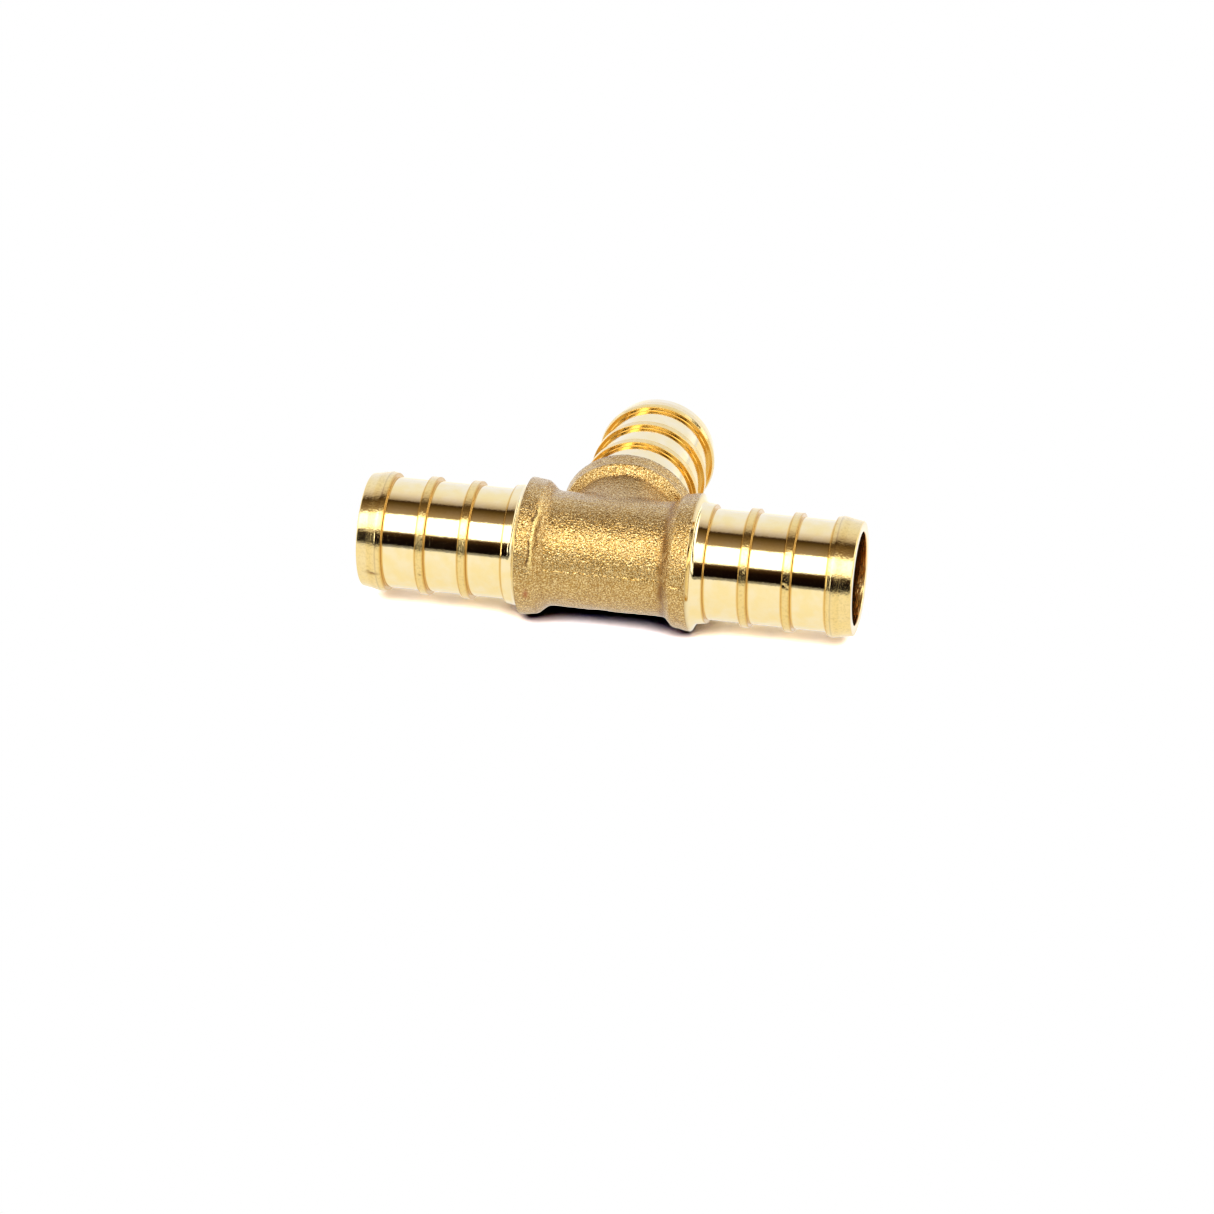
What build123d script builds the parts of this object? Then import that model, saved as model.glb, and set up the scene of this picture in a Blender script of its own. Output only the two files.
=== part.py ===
from build123d import *
import os

# One-piece brass insert tee for 1/2 in PEX pipe: three equal barbed arms on a cast
# centre.  Millimetres.  The origin is where the run and branch axes cross, the run
# lies along X and the branch points along +Y.

# Every arm
arm_length = 24.7  # origin to each open end
bore_radius = 4.62
cast_length = 8.5  # origin to the collar's crest edge, where the turned surface starts

# As-cast centre
run_neck_radius = 5.70
branch_neck_radius = 5.62
junction_blend = 1.2
collar_root = 4.8  # where the collar leaves the bare neck
collar_foot = 5.75  # corner under the collar's rise
collar_foot_blend = 1.2
collar_top = 6.95  # corner between the rise and the crest band
collar_top_radius = 6.60
collar_top_blend = 0.5
collar_radius = 6.88  # at the crest edge

# Turned spigots
rib_radius = 6.0
groove_radius = 5.5
shoulder_start = 8.95  # corner where the collar's turned slope meets the shoulder
shoulder_blend = 0.6
shoulder_end = 10.05
first_rib = 14.0  # origin to the rib's middle
rib_pitch = 4.29
rib_count = 3
rib_crest = 0.82
rib_flank = 0.05  # axial length of each steep side
foot_blend = 0.2
crest_blend = 0.12
cone_start = 22.7  # where the outermost rib's crest turns into the lead-in cone
nose_radius = 5.65  # at the small end of the lead-in cone
nose_blend = 0.15
mouth_blend = 0.10

# Each arm's sketch plane has its X outwards along the arm and its Y across it
arms = [
    ("left_run_spigot", Plane((0, 0, 0), x_dir=(-1, 0, 0), z_dir=(0, 0, -1)), run_neck_radius),
    ("right_run_spigot", Plane((0, 0, 0), x_dir=(1, 0, 0), z_dir=(0, 0, 1)), run_neck_radius),
    ("branch_spigot", Plane((0, 0, 0), x_dir=(0, 1, 0), z_dir=(0, 0, 1)), branch_neck_radius),
]


def rising_side(centre):
    """The inner side of a rib as corners of distance, radius and blend."""
    crest = centre - rib_crest / 2
    return [(crest - rib_flank, groove_radius, foot_blend), (crest, rib_radius, crest_blend)]


def falling_side(centre):
    """The outer side of a rib, which mirrors its inner side."""
    mirrored = reversed(rising_side(centre))
    return [(2 * centre - distance, radius, blend) for distance, radius, blend in mirrored]


def spigot_outline():
    """A spigot's wall in section, from the collar's edge out to the open end."""
    corners = [
        (cast_length, bore_radius, 0),
        (cast_length, collar_radius, 0),
        (shoulder_start, rib_radius, shoulder_blend),
        (shoulder_end, rib_radius, crest_blend),
        (shoulder_end + rib_flank, groove_radius, foot_blend),
    ]
    for index in range(rib_count):
        centre = first_rib + rib_pitch * index
        corners += rising_side(centre)
        if index < rib_count - 1:
            corners += falling_side(centre)
    return corners + [
        (cone_start, rib_radius, 0),
        (arm_length, nose_radius, nose_blend),
        (arm_length, bore_radius, mouth_blend),
    ]


def collar_outline(neck_radius):
    """A cast collar in section, from inside its neck up to the turned edge."""
    return [
        (collar_root, bore_radius, 0),
        (collar_root, neck_radius, 0),
        (collar_foot, neck_radius, collar_foot_blend),
        (collar_top, collar_top_radius, collar_top_blend),
        (cast_length, collar_radius, 0),
        (cast_length, bore_radius, 0),
    ]


def closed_outline(corners):
    """Close the corners into one line, with each corner rounded by its own blend."""
    points = [(distance, radius) for distance, radius, _ in corners]
    FilletPolyline(*points, radius=[blend for _, _, blend in corners], close=True)


os.makedirs("parts", exist_ok=True)

with BuildPart() as cast_body:
    for _, plane, neck_radius in arms:
        with BuildSketch(Plane(plane.origin, z_dir=plane.x_dir)):
            Circle(neck_radius)
        extrude(amount=cast_length)
    # The curves where the necks meet are the only free-form edges
    fillet(cast_body.edges().filter_by(GeomType.BSPLINE), junction_blend)
    for _, plane, neck_radius in arms:
        with BuildSketch(plane):
            with BuildLine():
                closed_outline(collar_outline(neck_radius))
            make_face()
        revolve(axis=Axis(plane.origin, plane.x_dir))
    for _, plane, _ in arms:
        with BuildSketch(Plane(plane.origin, z_dir=plane.x_dir)):
            Circle(bore_radius)
        extrude(amount=cast_length, mode=Mode.SUBTRACT)
cast_body.part.label = "cast_body"
export_step(cast_body.part, "parts/cast_body.step")

for label, plane, _ in arms:
    with BuildPart() as spigot:
        with BuildSketch(plane):
            with BuildLine():
                closed_outline(spigot_outline())
            make_face()
        revolve(axis=Axis(plane.origin, plane.x_dir))
    spigot.part.label = label
    export_step(spigot.part, f"parts/{label}.step")
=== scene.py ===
import math
import random

import bmesh
import bpy
import numpy as np
from mathutils import Matrix, Vector, bvhtree, noise


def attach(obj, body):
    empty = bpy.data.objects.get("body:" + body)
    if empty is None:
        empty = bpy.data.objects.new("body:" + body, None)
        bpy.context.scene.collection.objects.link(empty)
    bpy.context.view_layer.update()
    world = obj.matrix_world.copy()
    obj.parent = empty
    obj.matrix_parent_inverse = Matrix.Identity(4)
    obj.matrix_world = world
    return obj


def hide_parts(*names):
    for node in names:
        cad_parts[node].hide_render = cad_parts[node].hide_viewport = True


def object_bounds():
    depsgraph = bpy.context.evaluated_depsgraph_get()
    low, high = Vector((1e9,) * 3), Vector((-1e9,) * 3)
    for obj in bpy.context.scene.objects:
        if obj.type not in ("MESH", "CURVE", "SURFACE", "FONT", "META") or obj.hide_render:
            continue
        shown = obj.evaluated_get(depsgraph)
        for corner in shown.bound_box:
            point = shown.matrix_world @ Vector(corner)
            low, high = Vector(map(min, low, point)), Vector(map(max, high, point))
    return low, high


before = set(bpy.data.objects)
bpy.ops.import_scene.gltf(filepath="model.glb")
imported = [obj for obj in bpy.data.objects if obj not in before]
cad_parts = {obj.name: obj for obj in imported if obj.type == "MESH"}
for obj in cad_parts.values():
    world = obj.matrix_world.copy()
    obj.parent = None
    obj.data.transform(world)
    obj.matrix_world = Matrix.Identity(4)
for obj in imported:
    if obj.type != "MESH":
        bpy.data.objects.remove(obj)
cad_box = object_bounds()

MM = 0.001
UP = Vector((0, 0, 1))

# The three arms: CAD node and outward direction of its axis
ARMS = {
    "left_run_spigot": Vector((-1, 0, 0)),
    "right_run_spigot": Vector((1, 0, 0)),
    "branch_spigot": Vector((0, 1, 0)),
}


def mesh_points(mesh):
    """A mesh's vertices as rows of x, y, z in metres."""
    co = np.zeros(len(mesh.vertices) * 3)
    mesh.vertices.foreach_get("co", co)
    return co.reshape(-1, 3)


def along_and_radius(points, out):
    """Distance along an arm's axis, and from it, for each point."""
    along = points @ np.array(out)
    return along, np.linalg.norm(points - np.outer(along, out), axis=1)


def rise_angle(points, out):
    """Angle round an arm's axis: 0 level on the near side, 90 on top."""
    near = Vector((0, -1, 0)) if abs(out.x) > 0.5 else Vector((1, 0, 0))
    return np.degrees(np.arctan2(points[:, 2], points @ np.array(near)))


def rough_field(points, size, seed):
    """Smooth noise from -1 to 1 at each point, with lumps of about the given size."""
    shift = Vector((seed * 17.3, seed * 5.1, seed * 11.7))
    return np.array([noise.noise(Vector(p) / size + shift) for p in points])


def hump(distance, width):
    """1 at no distance, falling to 0 over about the given width."""
    return np.exp(-(np.asarray(distance) / width) ** 2)


def ease(value, start, end):
    """0 before start, 1 after end, and smooth between."""
    t = np.clip((np.asarray(value) - start) / (end - start), 0, 1)
    return t * t * (3 - 2 * t)


def new_object(name, mesh):
    obj = bpy.data.objects.new(name, mesh)
    bpy.context.scene.collection.objects.link(obj)
    return obj


def store(mesh, name, values):
    mesh.attributes.new(name, "FLOAT", "POINT").data.foreach_set("value", np.asarray(values, float))


# ---------------------------------------------------------------- camera

FOCAL = 140.2  # on Blender's 36 mm sensor
AZIMUTH, ELEVATION, ROLL = math.radians(11.5), math.radians(27.3), math.radians(0.56)
DISTANCE = 466.8 * MM
AIM_RIGHT, AIM_UP = -0.525 * MM, -5.253 * MM  # the picture's centre, seen from the origin


def add_camera():
    back = Vector((math.sin(AZIMUTH) * math.cos(ELEVATION),
                   -math.cos(AZIMUTH) * math.cos(ELEVATION),
                   math.sin(ELEVATION)))
    right = Vector((math.cos(AZIMUTH), math.sin(AZIMUTH), 0))
    up = back.cross(right)
    turn = Matrix.Rotation(ROLL, 3, back)
    right, up = turn @ right, turn @ up
    place = back * DISTANCE + right * AIM_RIGHT + up * AIM_UP
    data = bpy.data.cameras.new("camera")
    data.lens = FOCAL
    data.clip_start, data.clip_end = 0.02, 20
    camera = bpy.data.objects.new("camera", data)
    bpy.context.scene.collection.objects.link(camera)
    facing = Matrix((right, up, back)).transposed().to_4x4()
    camera.matrix_world = Matrix.Translation(place) @ facing
    bpy.context.scene.camera = camera


add_camera()

# ---------------------------------------------------------------- nodes


class Graph:
    """A node tree being built: add() makes a node, sets its inputs and links what is a socket."""

    def __init__(self, tree):
        self.tree = tree
        tree.nodes.clear()

    def add(self, kind, inputs=None, **settings):
        node = self.tree.nodes.new(kind)
        for key, value in settings.items():
            setattr(node, key, value)
        for key, value in (inputs or {}).items():
            if isinstance(value, bpy.types.NodeSocket):
                self.tree.links.new(value, node.inputs[key])
            else:
                node.inputs[key].default_value = value
        return node

    def math(self, operation, *values):
        return self.add("ShaderNodeMath", dict(enumerate(values)), operation=operation).outputs[0]

    def vector(self, operation, *values):
        node = self.add("ShaderNodeVectorMath", dict(enumerate(values)), operation=operation)
        return node.outputs[0]

    def ramp(self, value, stops):
        node = self.add("ShaderNodeValToRGB", {"Fac": value})
        elements = node.color_ramp.elements
        while len(elements) > 1:
            elements.remove(elements[-1])
        elements[0].position, elements[0].color = stops[0]
        for position, colour in stops[1:]:
            elements.new(position).color = colour
        return node.outputs["Color"]

    def scale(self, value, start, end, low=0.0, high=1.0):
        """Carry start..end to low..high, and stay within them."""
        return self.add("ShaderNodeMapRange", {
            "Value": value, "From Min": start, "From Max": end,
            "To Min": low, "To Max": high}).outputs[0]

    def blend(self, factor, first, second):
        """The first colour where factor is 0, the second where it is 1."""
        node = self.add("ShaderNodeMix", {0: factor, 6: first, 7: second}, data_type="RGBA")
        return node.outputs[2]

    def noise(self, vector, scale, detail=2.0, roughness=0.5):
        return self.add("ShaderNodeTexNoise", {
            "Vector": vector, "Scale": scale, "Detail": detail,
            "Roughness": roughness}).outputs["Fac"]

    def attribute(self, name):
        return self.add("ShaderNodeAttribute", attribute_name=name).outputs["Fac"]


# ---------------------------------------------------------------- studio

STRAIGHT_DOWN, BACK_HORIZON = -90, 180  # the ends of the angle below
# What stands in front of, over and behind the table, by the angle above the front horizon
# over the top to the back: (degrees, brightness of red, green, blue)
FRONT_TO_BACK = [
    (-90, (0.7, 0.7, 0.7)),
    (-1, (0.02, 0.015, 0.01)),
    (2, (0.004, 0.002, 0.002)),
    (16, (0.01, 0.004, 0.002)),
    (23.5, (0.06, 0.03, 0.012)),
    (25.6, (0.20, 0.12, 0.06)),
    (28.0, (0.9, 0.9, 0.9)),
    (60, (1.1, 1.1, 1.0)),
    (64, (0.8, 0.75, 0.65)),
    (66, (0.45, 0.34, 0.24)),
    (78, (0.25, 0.17, 0.10)),
    (88, (0.12, 0.075, 0.025)),
    (95, (0.05, 0.025, 0.008)),
    (96.5, (0.06, 0.035, 0.015)),
    (98.5, (0.42, 0.35, 0.32)),
    (108, (0.78, 0.72, 0.76)),
    (118, (1.0, 0.98, 1.05)),
    (130, (1.05, 1.09, 1.22)),
    (150, (1.05, 1.12, 1.40)),
    (180, (1.05, 1.15, 1.50)),
]
# The soft box that is added to it, by the same angle and then from left to right
BOX_BY_ANGLE = [(27.2, 0.0), (28.3, 2.2), (40, 3.8), (56, 3.8), (62, 3.1), (64.5, 0.0)]
BOX_BY_SIDE = [(-1.0, 0.1), (-0.6, 0.4), (-0.2, 1.0), (0.1, 0.55), (0.5, 0.3), (1.0, 0.1)]
# Low reflectors left and right of the table's front, which the branch's rib corners return
LOW_BY_ANGLE = [(1, 0.0), (4, 1.0), (25.8, 1.0), (26.8, 0.0)]
LOW_BY_SIDE = [(-1.0, 0.0), (-0.42, 0.0), (-0.37, 5.0), (-0.32, 5.0), (-0.30, 0.0),
               (0.32, 0.0), (0.38, 1.2), (0.5, 0.9), (1.0, 0.9)]
# What stands at the left and right, by the angle above the table
SIDES = [
    (-90, (0.7, 0.7, 0.7)),
    (0, (0.5, 0.5, 0.5)),
    (1.5, (0.15, 0.13, 0.10)),
    (3, (2.2, 2.2, 2.2)),
    (16, (2.2, 2.2, 2.2)),
    (18, (0.10, 0.07, 0.04)),
    (28, (0.10, 0.07, 0.04)),
    (36, (2.6, 2.6, 2.6)),
    (60, (4.5, 4.5, 4.5)),
    (90, (4.5, 4.5, 4.5)),
]
SIDE_START, SIDE_END = 0.50, 0.78  # how far sideways the view turns from the first to SIDES
SIDE_SHIFT = 0.1  # and how far that is off the middle, to the left
BACKGROUND = (1.0, 1.0, 1.0)


def spread(g, value, start, end, stops):
    """A ramp over start..end whose colours may be brighter than 1: colour and strength."""
    colours = [(s, c if isinstance(c, tuple) else (c, c, c)) for s, c in stops]
    brightest = max(max(c) for _, c in colours)
    ramp = [((s - start) / (end - start), (*(v / brightest for v in c), 1)) for s, c in colours]
    return g.ramp(g.scale(value, start, end), ramp), brightest


def add_studio():
    world = bpy.data.worlds.new("studio")
    bpy.context.scene.world = world
    world.use_nodes = True
    g = Graph(world.node_tree)
    direction = g.add("ShaderNodeTexCoord").outputs["Generated"]
    xyz = g.add("ShaderNodeSeparateXYZ", {0: direction})
    side, depth, height = xyz.outputs
    angle = g.math("ARCTAN2", height, g.math("MULTIPLY", depth, -1.0))
    angle = g.math("MULTIPLY", angle, math.degrees(1))
    behind = g.math("LESS_THAN", angle, STRAIGHT_DOWN)  # below the back horizon
    angle = g.math("ADD", angle, g.math("MULTIPLY", behind, 360.0))
    above = g.math("MULTIPLY", g.math("ARCSINE", height), math.degrees(1))

    def light(colour_and_strength):
        colour, strength = colour_and_strength
        return g.add("ShaderNodeBackground", {"Color": colour, "Strength": strength}).outputs[0]

    def patch(by_angle, by_side):
        """A patch of light, as bright as its two ramps multiplied."""
        stops = [(STRAIGHT_DOWN, 0.0), *by_angle, (BACK_HORIZON, 0.0)]
        upwards, angle_peak = spread(g, angle, STRAIGHT_DOWN, BACK_HORIZON, stops)
        across, side_peak = spread(g, side, -1, 1, by_side)
        return light((g.vector("MULTIPLY", upwards, across), angle_peak * side_peak))

    middle = light(spread(g, angle, STRAIGHT_DOWN, BACK_HORIZON, FRONT_TO_BACK))
    for by_angle, by_side in (BOX_BY_ANGLE, BOX_BY_SIDE), (LOW_BY_ANGLE, LOW_BY_SIDE):
        middle = g.add("ShaderNodeAddShader", {0: middle, 1: patch(by_angle, by_side)}).outputs[0]
    sides = light(spread(g, above, -90, 90, SIDES))
    aside = g.math("ABSOLUTE", g.math("ADD", side, SIDE_SHIFT))
    sky = g.add("ShaderNodeMixShader", {
        0: g.scale(aside, SIDE_START, SIDE_END), 1: middle, 2: sides}).outputs[0]
    plain = g.add("ShaderNodeBackground", {"Color": (*BACKGROUND, 1), "Strength": 1.0}).outputs[0]
    seen = g.add("ShaderNodeLightPath").outputs["Is Camera Ray"]
    mix = g.add("ShaderNodeMixShader", {0: seen, 1: sky, 2: plain})
    g.add("ShaderNodeOutputWorld", {"Surface": mix.outputs[0]})


add_studio()

FLOOR_RADIUS = 0.7
FLOOR_WHITE = 0.25  # what the lit table top scatters, besides its own glow
FLOOR_GLOW = 0.83
# In the camera's view the floor is plain white, and close to the part it shows the light
# that falls on it with its contrast raised
SHADOW_REACH = 2.5 * MM
SHADOW_GAIN, SHADOW_OFFSET = (4.0, 3.53, 3.5), (-1.68, -1.12, -0.74)
# The shadow's tint, by how open the floor is there to the sky
SHADOW_COLOUR = [(0.2, (0.25, 0.2, 0.25)), (0.36, (0.85, 0.76, 0.69)),
                 (0.45, (1.0, 0.97, 0.94)), (0.5, (1, 1, 1))]
SHADOW_FADE = (0.5, 0.95)  # the same share, where the shadow thins out to plain white
SHADOW_LAYERS = 5  # one scattering layer can't return more light than it gets
TABLE_FRONT = 90 * MM  # the glow ends this far in front, which the turned surfaces mirror
TABLE_BLEND = 4 * MM


def add_floor():
    mesh = bpy.data.meshes.new("floor")
    b = bmesh.new()
    bmesh.ops.create_circle(b, cap_ends=True, segments=96, radius=FLOOR_RADIUS)
    b.to_mesh(mesh)
    b.free()
    floor = new_object("floor", mesh)
    floor.location.z = cad_box[0].z
    material = bpy.data.materials.new("floor")
    material.use_nodes = True
    g = Graph(material.node_tree)
    position = g.add("ShaderNodeTexCoord").outputs["Object"]
    depth = g.add("ShaderNodeSeparateXYZ", {0: position}).outputs["Y"]
    glow = g.scale(depth, -TABLE_FRONT - TABLE_BLEND, -TABLE_FRONT + TABLE_BLEND, 0.0, FLOOR_GLOW)
    white = g.add("ShaderNodeBsdfDiffuse", {"Color": (FLOOR_WHITE, FLOOR_WHITE, FLOOR_WHITE, 1)})
    lit = g.add("ShaderNodeAddShader", {
        0: white.outputs[0], 1: g.add("ShaderNodeEmission", {"Strength": glow}).outputs[0]})
    open_sky = g.add("ShaderNodeAmbientOcclusion", {"Distance": SHADOW_REACH},
                     samples=16).outputs["AO"]
    shadow = g.ramp(open_sky, [(share, (*colour, 1)) for share, colour in SHADOW_COLOUR])
    layer = g.vector("MULTIPLY", shadow, [gain / SHADOW_LAYERS for gain in SHADOW_GAIN])
    shade = g.add("ShaderNodeEmission", {"Color": g.vector("MULTIPLY", shadow, SHADOW_OFFSET)})
    for _ in range(SHADOW_LAYERS):
        scatter = g.add("ShaderNodeBsdfDiffuse", {"Color": layer})
        shade = g.add("ShaderNodeAddShader", {0: shade.outputs[0], 1: scatter.outputs[0]})
    lifted = g.add("ShaderNodeMixShader", {
        0: g.scale(open_sky, *SHADOW_FADE), 1: shade.outputs[0],
        2: g.add("ShaderNodeEmission").outputs[0]})
    mix = g.add("ShaderNodeMixShader", {
        0: g.add("ShaderNodeLightPath").outputs["Is Camera Ray"],
        1: lit.outputs[0], 2: lifted.outputs[0]})
    g.add("ShaderNodeOutputMaterial", {"Surface": mix.outputs[0]})
    mesh.materials.append(material)


add_floor()

# ---------------------------------------------------------------- materials


def turned_brass():
    """Bright brass off a lathe: fine rings, small dents, and duller where it has been handled."""
    material = bpy.data.materials.new("turned_brass")
    material.use_nodes = True
    g = Graph(material.node_tree)
    position = g.add("ShaderNodeTexCoord").outputs["Object"]
    along = g.attribute("along")
    worn = g.attribute("worn")
    dirt_and_shade = g.attribute("dirt_and_shade")
    flank = g.attribute("flank")
    inside = g.attribute("inside")
    mouth = g.attribute("mouth")
    rings = g.add("ShaderNodeCombineXYZ", {0: g.math("MULTIPLY", along, 7.0 / MM)}).outputs[0]
    marks = g.noise(g.vector("ADD", g.vector("MULTIPLY", position, (0.9 / MM,) * 3), rings), 1.0)
    dents = g.noise(position, 3.6 / MM, 3.0, 0.65)
    scratches = g.noise(position, 9.0 / MM, 2.0)
    # Heights in millimetres, the second where the surface is rubbed or worn
    height = g.math("ADD", g.math("MULTIPLY", marks, g.scale(mouth, 0.0, 1.0, 0.006, 0.04)),
                    g.math("MULTIPLY", dents, g.scale(worn, 0.0, 1.0, 0.003, 0.019)))
    height = g.math("ADD", height, g.math(
        "MULTIPLY", scratches, g.scale(worn, 0.0, 1.0, 0.0020, 0.0035)))
    bump = g.add("ShaderNodeBump", {"Height": height, "Distance": MM,
                                    "Strength": g.scale(flank, 0.0, 1.0, 1.0, 0.15)})
    cloud = g.noise(position, 0.7 / MM, 2.0)
    colour = g.blend(g.scale(cloud, 0.35, 0.65), (0.86, 0.72, 0.42, 1), (0.86, 0.69, 0.33, 1))
    colour = g.blend(g.math("MULTIPLY", worn, 0.85), colour, (0.79, 0.58, 0.21, 1))
    # Painted reflection: the rib sides tinted the orange of brass mirrored in brass
    colour = g.blend(flank, colour, (0.87, 0.55, 0.14, 1))
    colour = g.blend(inside, colour, (0.85, 0.54, 0.21, 1))
    colour = g.blend(mouth, colour, (0.86, 0.66, 0.30, 1))
    specks = g.math("MULTIPLY", g.scale(dents, 0.48, 0.68, 0.0, 0.28), worn)
    colour = g.blend(specks, colour, (0.42, 0.24, 0.07, 1))
    # Dirt, and painted shade along the rib feet
    colour = g.blend(dirt_and_shade, colour, (0.24, 0.12, 0.035, 1))
    roughness = g.math("ADD", g.scale(cloud, 0.3, 0.7, 0.03, 0.06), g.math("MULTIPLY", worn, 0.08))
    for place, duller in (flank, 0.08), (inside, 0.05), (mouth, 0.10):
        roughness = g.math("ADD", roughness, g.math("MULTIPLY", place, duller))
    brass = g.add("ShaderNodeBsdfPrincipled", {
        "Base Color": colour, "Metallic": 1.0, "Roughness": roughness, "Normal": bump.outputs[0]})
    g.add("ShaderNodeOutputMaterial", {"Surface": brass.outputs[0]})
    return material


def cast_brass():
    """Sand-cast brass: a sparkling grain of about 0.2 mm, darker in its hollows."""
    material = bpy.data.materials.new("cast_brass")
    material.use_nodes = True
    g = Graph(material.node_tree)
    position = g.add("ShaderNodeTexCoord").outputs["Object"]
    fine = g.noise(position, 4.7 / MM, 2.0, 0.6)
    specks = g.noise(position, 7.6 / MM, 1.0)
    lumps = g.noise(position, 1.6 / MM, 2.0)
    grain = g.add("ShaderNodeTexVoronoi", {
        "Vector": position, "Scale": 5.0 / MM, "Smoothness": 0.25},
        feature="SMOOTH_F1").outputs["Distance"]
    # Heights in millimetres
    height = g.math("ADD", g.math("MULTIPLY", fine, 0.090), g.math("MULTIPLY", grain, -0.038))
    height = g.math("ADD", height, g.math("MULTIPLY", lumps, 0.020))
    bump = g.add("ShaderNodeBump", {"Height": height, "Strength": 1.0, "Distance": MM})
    patches = g.noise(position, 0.45 / MM, 3.0)
    colour = g.blend(g.scale(patches, 0.35, 0.65),
                     (0.40, 0.225, 0.055, 1), (0.43, 0.24, 0.050, 1))
    colour = g.blend(g.scale(fine, 0.50, 0.34, 0.0, 0.50), colour, (0.24, 0.13, 0.04, 1))
    colour = g.blend(g.scale(specks, 0.44, 0.68, 0.0, 0.70), colour, (0.98, 0.77, 0.37, 1))
    # Dirt in the cracks and pits, and painted shade in the collar creases and on the underside
    colour = g.blend(g.attribute("dirt_and_shade"), colour, (0.26, 0.12, 0.025, 1))
    # Rubbed bright beside the fold's cut, and partly a painted highlight
    colour = g.blend(g.attribute("rubbed_and_sheen"), colour, (0.86, 0.64, 0.24, 1))
    colour = g.blend(g.attribute("rust"), colour, (0.38, 0.13, 0.04, 1))
    crack = g.scale(g.attribute("crack"), 0.25, 0.75)
    colour = g.blend(crack, colour, (0.09, 0.042, 0.015, 1))
    brass = g.add("ShaderNodeBsdfPrincipled", {
        "Base Color": colour, "Metallic": 1.0, "Roughness": g.scale(fine, 0.40, 0.62, 0.23, 0.13),
        "Normal": bump.outputs[0], "Coat Weight": 0.15, "Coat Roughness": 0.10,
        "Coat Normal": bump.outputs[0]})
    g.add("ShaderNodeOutputMaterial", {"Surface": brass.outputs[0]})
    return material


TURNED, CAST = turned_brass(), cast_brass()

# ---------------------------------------------------------------- section of the turned arms


def wall_outline(node, out):
    """The section of a turned node, from its CAD mesh: outer wall outwards, bore back in."""
    along, radius = along_and_radius(mesh_points(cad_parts[node].data), out)
    section = np.unique(np.round(np.column_stack((along, radius)), 6), axis=0)
    middle = (section[:, 1].min() + np.median(section[:, 1])) / 2
    outer = section[section[:, 1] > middle]
    bore = section[section[:, 1] <= middle]
    return [tuple(p) for p in outer], [tuple(p) for p in bore[::-1]]


outer_wall, bore_wall = wall_outline("right_run_spigot", ARMS["right_run_spigot"])
EDGE_ALONG, EDGE_RADIUS = outer_wall[0]  # where the casting meets the turned slope
BORE_RADIUS = min(radius for _, radius in bore_wall)
# The median of the wall's vertices. It is 5.89 mm, not the CAD crest's 6.00 mm, so the ribs
# and the shoulder's edge are drawn that much lower than in the CAD
RIB_RADIUS = sorted(radius for _, radius in outer_wall)[len(outer_wall) // 2]
slope_end = next(p for p in outer_wall[1:] if p[1] < EDGE_RADIUS)
SLOPE = Vector((slope_end[0] - EDGE_ALONG, slope_end[1] - EDGE_RADIUS)).normalized()
EDGE_WAVE = 0.07 * MM  # how far the rough casting lets the turned slope's edge wander
SHOULDER, CONE_START = 9.6 * MM, 22.7 * MM  # the ribs and grooves are between these
GROOVE_RADIUS = min(radius for along, radius in outer_wall if along < CONE_START)
STEEP = 0.25 * (RIB_RADIUS - GROOVE_RADIUS)  # a rib side rises more than this in one face
# Where the steep rib sides stand: half way up them
RIB_FEET = [(a + c) / 2 for (a, b), (c, d) in zip(outer_wall, outer_wall[1:])
            if abs(d - b) > STEEP and a > SHOULDER and c < CONE_START]
CORNER_CUT = 0.30 * MM  # how much of the CAD outline the new corners replace on each side
FOOT_BLEND, CREST_BLEND, CLOSE = 0.07 * MM, 0.05 * MM, 0.01 * MM
CORNER_TURNS = [math.radians(t) for t in (0, 22.5, 45, 67.5, 90)]


def corner(blend):
    """A rounded corner: distances along its flat and up its side, from flat to side."""
    turn = [(blend * (1 - math.sin(t)), blend * (1 - math.cos(t))) for t in CORNER_TURNS]
    # Close neighbours keep the flats flat under smooth shading
    return [(blend + CLOSE, 0.0), *turn, (0.0, blend + CLOSE)]


def crisp_ribs(outer):
    """The outer wall with each rib's steep sides upright and its corners nearly sharp."""
    for place in RIB_FEET:
        before = [p for p in outer if p[0] < place - CORNER_CUT]
        after = [p for p in outer if p[0] > place + CORNER_CUT]
        way = 1 if after[0][1] > before[-1][1] else -1
        side = [(place - way * flat, GROOVE_RADIUS + up) for flat, up in corner(FOOT_BLEND)]
        side += [(place + way * flat, RIB_RADIUS - down)
                 for flat, down in reversed(corner(CREST_BLEND))]
        outer = before + side[::way] + after
    return outer


def edge_shift(points):
    """How far down its slope the turned edge is, at points on it: the casting isn't round."""
    wave = 0.6 * rough_field(points, 1.3 * MM, 3) + 0.4 * rough_field(points, 0.4 * MM, 4)
    return EDGE_WAVE * np.clip(0.5 + wave, 0, 1)


# ---------------------------------------------------------------- spigots

NOSE_WEAR = {"left_run_spigot": 0.55, "right_run_spigot": 0.75, "branch_spigot": 0.15}
NOSE_WEAR_BLEND = 0.2 * MM
CREST_WEAR = (0.12 * MM, 0.02 * MM)  # from none to full, by the depth below RIB_RADIUS
ABOVE_CREST = (0.02 * MM, 0.2 * MM)  # from full to none, by the height above it
RIBS_START = (12 * MM, 13 * MM)  # the shoulder isn't worn, the ribs are
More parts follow.
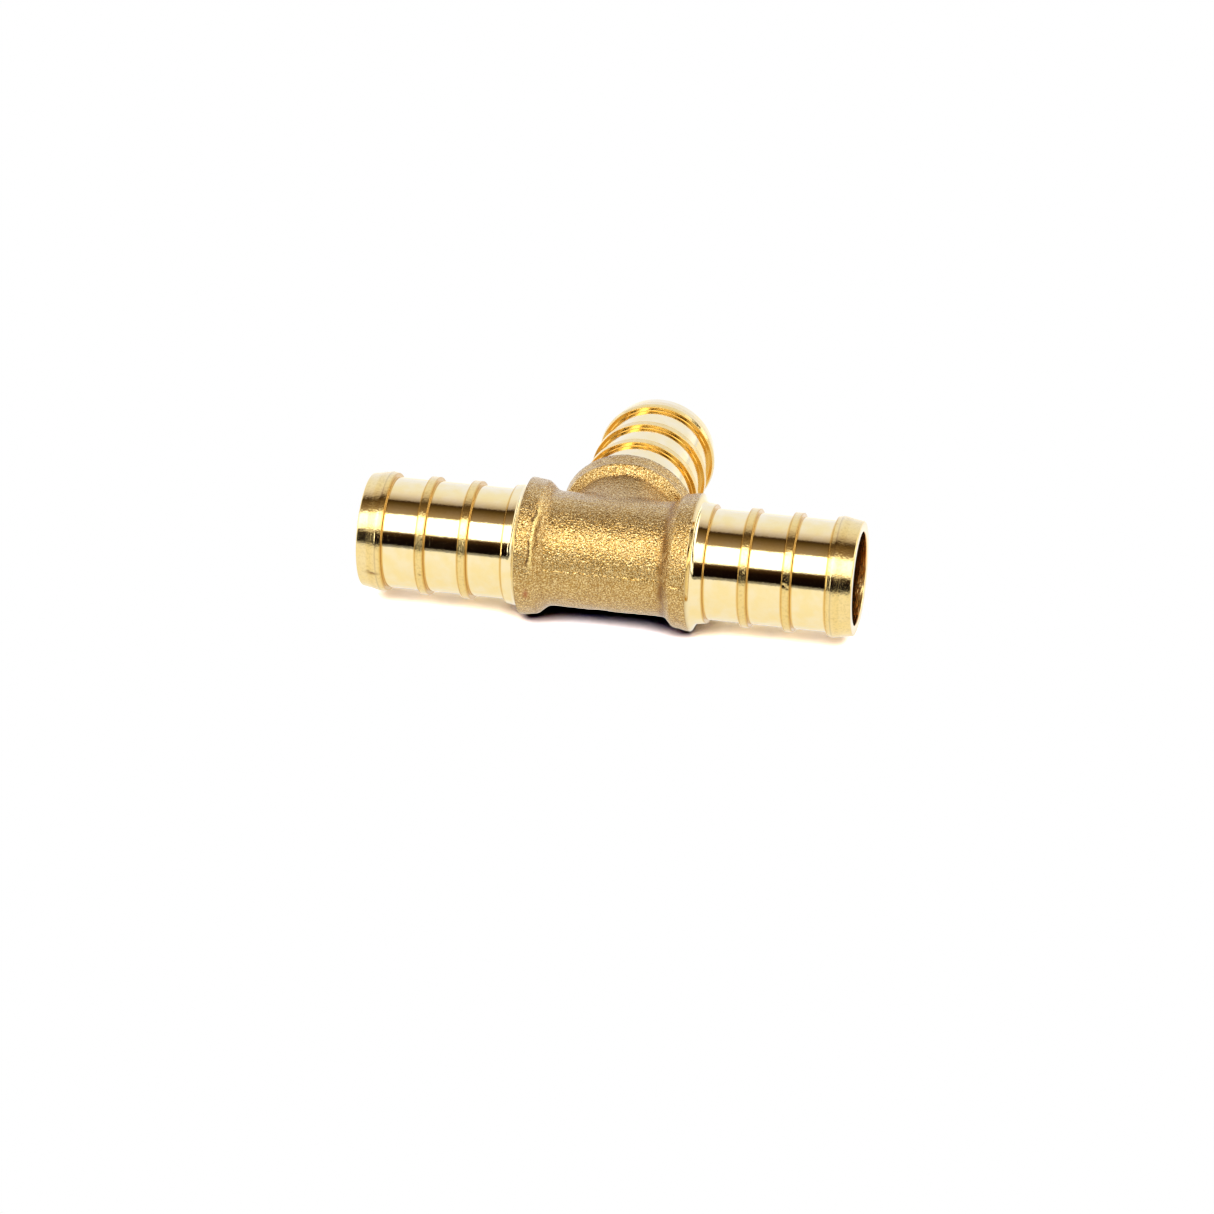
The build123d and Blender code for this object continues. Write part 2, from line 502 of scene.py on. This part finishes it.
# A rubbed patch in each bore's mouth: where it starts and is full, its angle and half width
MOUTH_START, MOUTH_END, MOUTH_ANGLE, MOUTH_WIDTH = 23.6 * MM, 24.3 * MM, -130.0, 28.0
SKIN = 0.3 * MM  # surfaces further than this from the bore are outside
BORE_FADE = (0.02 * MM, 0.10 * MM)  # from bore to outside looks
# Painted shade along each rib's foot, by arm
FOOT_SHADE = {"left_run_spigot": 0.42, "right_run_spigot": 0.42, "branch_spigot": 0.12}
EDGE_DIRT = 0.5
CONE_DIRT = 0.8  # share of the rib feet's painted shade, for a dark line where the cone starts
FOOT_WIDTH, EDGE_WIDTH, CONE_WIDTH = 0.10 * MM, 0.12 * MM, 0.07 * MM
FLANK_FADE = (0.17 * MM, 0.10 * MM)  # from none to full, by the distance from a rib's side
SEGMENTS = 360
RING_STEP = 0.14 * MM
BORE_STEP = 1.0 * MM

# Small damage: node, distance along, angle round, half length along, half width round,
# depth in millimetres, and how dirty it is
NICKS = [
    ("left_run_spigot", 23.05, -19.5, 0.42, 0.13, 0.10, 0.9),
    ("left_run_spigot", 23.45, -17.5, 0.16, 0.10, 0.06, 0.7),
    ("left_run_spigot", 18.2, -15.5, 0.10, 0.08, 0.04, 0.8),
    ("right_run_spigot", 18.12, 13.5, 0.14, 0.12, 0.05, 0.3),
    ("right_run_spigot", 18.45, 11.0, 0.10, 0.10, 0.03, 0.0),
    ("branch_spigot", 13.65, 79.0, 0.10, 0.22, 0.07, 0.3),
]


def turned_from(angle, middle):
    """Angles measured from the middle one, from -180 to 180 degrees."""
    return (angle - middle + 180) % 360 - 180


def stepped(points, step):
    """The same line with straight stretches longer than step divided evenly."""
    line = [points[0]]
    for start, end in zip(points, points[1:]):
        parts = max(1, math.ceil(math.dist(start, end) / step))
        for i in range(1, parts + 1):
            line.append(tuple(np.array(start) + (np.array(end) - start) * i / parts))
    return line


def add_spigot(node, out):
    outer, bore = wall_outline(node, out)
    outer, bore = stepped(crisp_ribs(outer), RING_STEP), stepped(bore, BORE_STEP)
    bore.insert(-1, (bore[-1][0] + CLOSE, bore[-1][1]))  # keeps the bore straight in shading
    line = np.array(outer + bore)
    side = UP.cross(out)
    turns = 2 * math.pi * np.arange(SEGMENTS) / SEGMENTS
    spokes = np.outer(np.cos(turns), side) + np.outer(np.sin(turns), UP)
    axis = np.array(out)
    points = (line[:, None, :1] * axis + line[:, None, 1:] * spokes).reshape(-1, 3)
    outwards = np.tile(spokes, (len(line), 1))
    along = np.repeat(line[:, 0], SEGMENTS)
    radius = np.repeat(line[:, 1], SEGMENTS)
    angle = rise_angle(points, out)

    dirt_and_shade = np.zeros(len(points))
    for where, nick_along, nick_angle, length, width, depth, dirtiness in NICKS:
        if where != node:
            continue
        across = np.radians(turned_from(angle, nick_angle)) * radius
        close = hump(along - nick_along * MM, length * MM) * hump(across, width * MM)
        close *= (radius > (RIB_RADIUS + BORE_RADIUS) / 2)
        points -= outwards * (close * depth * MM)[:, None]
        dirt_and_shade = np.maximum(dirt_and_shade, dirtiness * close ** 0.5)

    first = slice(0, SEGMENTS)
    shift = edge_shift(points[first])
    points[first] += np.outer(shift * SLOPE.x, axis) + spokes * (shift * SLOPE.y)[:, None]

    crest = ease(RIB_RADIUS - radius, *CREST_WEAR) * ease(along, *RIBS_START)
    crest *= 1 - ease(radius - RIB_RADIUS, *ABOVE_CREST)
    nose = ease(along, CONE_START, CONE_START + NOSE_WEAR_BLEND) * NOSE_WEAR[node]
    outside = radius > BORE_RADIUS + SKIN
    worn = np.maximum(crest, nose) * outside
    inside = 1 - ease(radius - BORE_RADIUS, *BORE_FADE)
    foot, flank = np.zeros(len(points)), np.zeros(len(points))
    for place in RIB_FEET:
        foot = np.maximum(foot, hump(along - place, FOOT_WIDTH) * outside)
        flank = np.maximum(flank, ease(abs(along - place), *FLANK_FADE) * outside)
    foot = np.maximum(foot, CONE_DIRT * hump(along - CONE_START, CONE_WIDTH) * outside)
    mouth = inside * ease(along, MOUTH_START, MOUTH_END)
    mouth *= hump(turned_from(angle, MOUTH_ANGLE), MOUTH_WIDTH)
    edge = hump(along - EDGE_ALONG, EDGE_WIDTH) * (radius > RIB_RADIUS)
    # Painted shade along the rib feet, with the dark lines at the cone and the turned edge
    dirt_and_shade = np.maximum(dirt_and_shade, np.maximum(FOOT_SHADE[node] * foot, EDGE_DIRT * edge))

    rings = len(line)
    faces = []
    for ring in range(rings):
        a, b = ring * SEGMENTS, (ring + 1) % rings * SEGMENTS
        for i in range(SEGMENTS):
            j = (i + 1) % SEGMENTS
            faces.append((a + i, a + j, b + j, b + i))
    mesh = bpy.data.meshes.new(node + "_turned")
    mesh.from_pydata(points.tolist(), [], faces)
    looks = {"along": along, "worn": worn, "flank": flank, "inside": inside, "mouth": mouth,
             "dirt_and_shade": dirt_and_shade}
    for name, values in looks.items():
        store(mesh, name, values)
    mesh.shade_smooth()
    mesh.materials.append(TURNED)
    spigot = new_object(node + "_turned", mesh)
    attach(spigot, "root")
    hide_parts(node)


for node, out in ARMS.items():
    add_spigot(node, out)

# ---------------------------------------------------------------- cast body

CAST_STEP = 0.13 * MM
SMOOTHINGS = 8
BORE_SLACK, END_SLACK = 0.15 * MM, 0.02 * MM  # within these a point is on a machined face
RIM_REACH = 0.6 * CAST_STEP  # points this close to the turned edge are put on it
RIM_FADE = 0.25 * MM  # the turned edge's wander dies out over this much of the casting
HOLD = (0.15 * MM, 0.6 * MM)  # from held to free, by the distance from the turned edge
# Lumps of the cast surface: height and size in millimetres, and noise seed
LUMPS = [(0.045, 1.6, 1), (0.018, 0.6, 2), (0.012, 0.27, 5)]
# The step where the mould's halves met: it rises at this height and fades below it
PARTING_HEIGHT, PARTING_STEP, PARTING_FADE = 0.36 * MM, 0.10 * MM, 1.3 * MM
PARTING_RISE = (-0.08 * MM, 0.05 * MM)
# Painted shade in the crease at each collar's foot, its values in the order of ARMS
CREASE_ALONG = 5.98 * MM
CREASE_WIDTHS = (0.10 * MM, 0.38 * MM, 0.14 * MM)
CREASE_SHADE = (0.50, 1.0, 0.80)
CREASE_WAVE = 0.10 * MM  # how far it wanders along the arm
# How much steeper than the CAD each collar rises from it, and the band that is pushed
# out and the one that is pushed in: distance along, width and push
STEEPNESS = (0.4, 0.5, 1.0)
STEEPER = [(6.80 * MM, 0.28 * MM, 0.14 * MM), (6.02 * MM, 0.30 * MM, -0.13 * MM)]
# Painted shade: the casting is darkened where it faces the floor, as if in shadow
UNDERSIDE_SHADE, UNDERSIDE = 0.45, (0.70, 1.0)  # by how far down the surface faces
COLLAR_NODE = "left_run_spigot"  # the fold and the rust spot are in this arm's collar
# The cold fold: the middle and half length of its bend round the collar, in degrees
FOLD_ANGLE, FOLD_REACH = 34, 27
ARM_START = 4 * MM  # nearer the centre than this isn't the collar
# Its cut and the fainter one beside it: distance along, width, and the angles where each
# starts and ends
FIRST_CUT = (7.12 * MM, 0.10 * MM, (3, 14), (58, 68))
SECOND_CUT = (6.45 * MM, 0.08 * MM, (16, 26), (50, 60))
FIRST_BEND, SECOND_BEND = 0.16 * MM, -0.10 * MM
# Beside the first cut, the distance from it and the width of: the lip on its inner side,
# the stripe that is rubbed bright and partly a painted highlight, and the step on its outer side
LIP, RUBBED_AND_SHEEN = (-0.24 * MM, 0.17 * MM), (-0.27 * MM, 0.16 * MM)
STEP, STEP_RISE = (0.2 * MM, 0.5 * MM), (-0.05 * MM, 0.1 * MM)
RUST_ALONG, RUST_WIDTH, RUST_ANGLE, RUST_TURN = 7.40 * MM, 0.20 * MM, -19.0, 4.0
RUST_DEPTH = 0.05 * MM
PITS, PIT_DIRT = 26, 0.35
PIT_SIZES, PIT_DEPTHS = (0.12, 0.26), (0.03, 0.06)  # in millimetres
SEED = 7


def even_mesh(source):
    """A closed mesh of small even faces, laid on the source's surface."""
    piece = new_object("casting", source.copy())
    remesh = piece.modifiers.new("remesh", "REMESH")
    remesh.mode = "VOXEL"
    remesh.voxel_size = CAST_STEP
    mesh = bpy.data.meshes.new_from_object(
        piece.evaluated_get(bpy.context.evaluated_depsgraph_get()))
    bpy.data.objects.remove(piece)
    tree = bvhtree.BVHTree.FromPolygons([v.co for v in source.vertices],
                                        [p.vertices for p in source.polygons])
    points = np.array([tree.find_nearest(Vector(p))[0] for p in mesh_points(mesh)])
    return mesh, points


def smoothed(points, edges, weight, rounds):
    """Points eased towards their neighbours' middle, as far as each one's weight says."""
    count = np.zeros(len(points))
    np.add.at(count, edges.ravel(), 1)
    for _ in range(rounds):
        total = np.zeros_like(points)
        np.add.at(total, edges[:, 0], points[edges[:, 1]])
        np.add.at(total, edges[:, 1], points[edges[:, 0]])
        points = points + (total / count[:, None] - points) * (0.5 * weight)[:, None]
    return points


def set_points(mesh, points):
    mesh.vertices.foreach_set("co", points.ravel())
    mesh.update()


def normals_of(mesh):
    n = np.zeros(len(mesh.vertices) * 3)
    mesh.vertices.foreach_get("normal", n)
    return n.reshape(-1, 3)


def fold(points):
    """The fold in the left collar: its height, how dark its cuts are, and the stripe rubbed bright
    and partly painted as a highlight.
    """
    out = ARMS[COLLAR_NODE]
    along, _ = along_and_radius(points, out)
    angle = rise_angle(points, out)
    wobble = (0.20 * rough_field(points, 0.9 * MM, 11)
              + 0.06 * rough_field(points, 0.3 * MM, 12)) * MM
    bend = (angle - FOLD_ANGLE) / FOLD_REACH

    def cut(place, offset):
        """Distance from a cut, and where round the collar it is."""
        middle, _, (start, started), (end, ended) = place
        span = ease(angle, start, started) * (1 - ease(angle, end, ended))
        return along - (middle + offset), span * (along > ARM_START)

    first, on_first = cut(FIRST_CUT, FIRST_BEND * bend ** 2 * np.sign(-bend) + wobble)
    second, on_second = cut(SECOND_CUT, SECOND_BEND * bend + 1.3 * wobble)
    cut_first = hump(first, FIRST_CUT[1]) * on_first
    cut_second = hump(second, SECOND_CUT[1]) * on_second
    lip = hump(first - LIP[0], LIP[1]) * on_first
    step = ease(first, *STEP_RISE) * hump(first - STEP[0], STEP[1]) * on_first
    height = (-0.15 * cut_first - 0.08 * cut_second + 0.096 * lip + 0.04 * step) * MM
    rubbed_and_sheen = hump(first - RUBBED_AND_SHEEN[0], RUBBED_AND_SHEEN[1]) * on_first
    # Dirt fills the cuts unevenly
    filled = np.clip(0.75 + 0.9 * rough_field(points, 0.7 * MM, 13), 0.3, 1)
    crack = np.maximum(cut_first * filled, 0.5 * cut_second)
    return height, crack, rubbed_and_sheen


def add_casting():
    mesh, points = even_mesh(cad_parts["cast_body"].data)
    edges = np.zeros(len(mesh.edges) * 2, int)
    mesh.edges.foreach_get("vertices", edges)
    edges = edges.reshape(-1, 2)

    # Which arm each point is on, and how far it is from that arm's turned edge
    along = np.full(len(points), -1.0)
    radius = np.zeros(len(points))
    arm = np.zeros(len(points), int)
    for index, out in enumerate(ARMS.values()):
        a, r = along_and_radius(points, out)
        nearer = a > along
        along[nearer], radius[nearer], arm[nearer] = a[nearer], r[nearer], index
    run_radius = np.hypot(points[:, 1], points[:, 2])
    branch_radius = np.where(points[:, 1] > 0, np.hypot(points[:, 0], points[:, 2]), 1.0)
    bored = np.minimum(run_radius, branch_radius) < BORE_RADIUS + BORE_SLACK
    ended = along > EDGE_ALONG - END_SLACK
    from_edge = np.hypot(EDGE_ALONG - along, EDGE_RADIUS - radius)
    rim = from_edge < RIM_REACH
    outer = ~bored & ~ended & ~rim

    # Take the sharp creases out of the casting, and put its rim on the turned edge
    free = outer * ease(from_edge, *HOLD)
    points = smoothed(points, edges, free, SMOOTHINGS)
    axes = np.array([tuple(out) for out in ARMS.values()])[arm]
    spokes = points - axes * np.sum(points * axes, axis=1)[:, None]
    spokes /= np.maximum(np.linalg.norm(spokes, axis=1), 1e-9)[:, None]
    rim_points = axes * EDGE_ALONG + spokes * EDGE_RADIUS
    points = np.where(rim[:, None], rim_points, points)
    set_points(mesh, points)
    normals = normals_of(mesh)

    height = sum(high * MM * rough_field(points, size * MM, seed) for high, size, seed in LUMPS)
    broken = 1 + 0.5 * rough_field(points, 0.5 * MM, 6)
    below = PARTING_HEIGHT - points[:, 2] - 0.05 * MM * rough_field(points, 1.1 * MM, 8)
    parting = ease(below, *PARTING_RISE) * np.exp(-np.maximum(below, 0) / PARTING_FADE)
    height += PARTING_STEP * broken * parting
    fold_height, crack, rubbed_and_sheen = fold(points)
    height += fold_height
    uneven = rough_field(points, 1.4 * MM, 9)
    wobble = CREASE_WAVE * rough_field(points, 0.8 * MM, 10)
    # Painted shade in the crease at each collar's foot
    crease = hump(along - CREASE_ALONG - wobble, np.array(CREASE_WIDTHS)[arm])
    crease *= np.clip(0.75 + 0.6 * uneven, 0, 1) * np.array(CREASE_SHADE)[arm]
    dirt_and_shade = np.maximum(0.8 * crack, crease)
    # Painted shade where the casting faces down
    dirt_and_shade = np.maximum(dirt_and_shade, UNDERSIDE_SHADE * ease(-normals[:, 2], *UNDERSIDE))
    steeper = sum(push * hump(along - place - wobble, width) for place, width, push in STEEPER)
    steeper *= np.array(STEEPNESS)[arm]
    draw = random.Random(SEED)
    candidates = np.flatnonzero(free > 0.99)
    for _ in range(PITS):
        centre = points[candidates[draw.randrange(len(candidates))]]
        size, depth = draw.uniform(*PIT_SIZES) * MM, draw.uniform(*PIT_DEPTHS) * MM
        close = hump(np.linalg.norm(points - centre, axis=1), size)
        height -= depth * close
        dirt_and_shade = np.maximum(dirt_and_shade, PIT_DIRT * close)
    left = ARMS[COLLAR_NODE]
    rust_along, _ = along_and_radius(points, left)
    rust = hump(rust_along - RUST_ALONG, RUST_WIDTH)
    rust *= hump(rise_angle(points, left) - RUST_ANGLE, RUST_TURN) * (points[:, 1] < 0)
    height -= RUST_DEPTH * rust
    points = points + normals * (height * free)[:, None] + spokes * (steeper * free)[:, None]

    shift = edge_shift(rim_points) * np.clip(1 - (from_edge - RIM_REACH) / RIM_FADE, 0, 1)
    shift *= ~bored & (radius > (EDGE_RADIUS + BORE_RADIUS) / 2)
    points = points + axes * (shift * SLOPE.x)[:, None] + spokes * (shift * SLOPE.y)[:, None]
    set_points(mesh, points)

    # The machined faces look like the inside of a turned arm
    none = np.zeros(len(points))
    looks = {"along": along, "worn": none, "flank": none, "mouth": none, "inside": none + 1,
             "dirt_and_shade": np.where(bored, 0, np.clip(dirt_and_shade, 0, 1)), "rust": rust ** 0.7,
             "rubbed_and_sheen": rubbed_and_sheen, "crack": crack}
    for name, values in looks.items():
        store(mesh, name, values)
    mesh.materials.clear()
    mesh.materials.append(CAST)
    mesh.materials.append(TURNED)
    machined = bored | ended
    for polygon in mesh.polygons:
        polygon.material_index = int(all(machined[v] for v in polygon.vertices))
    mesh.shade_smooth()
    casting = new_object("cast_body_casting", mesh)
    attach(casting, "root")
    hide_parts("cast_body")


add_casting()

bpy.context.scene.view_settings.view_transform = "Standard"
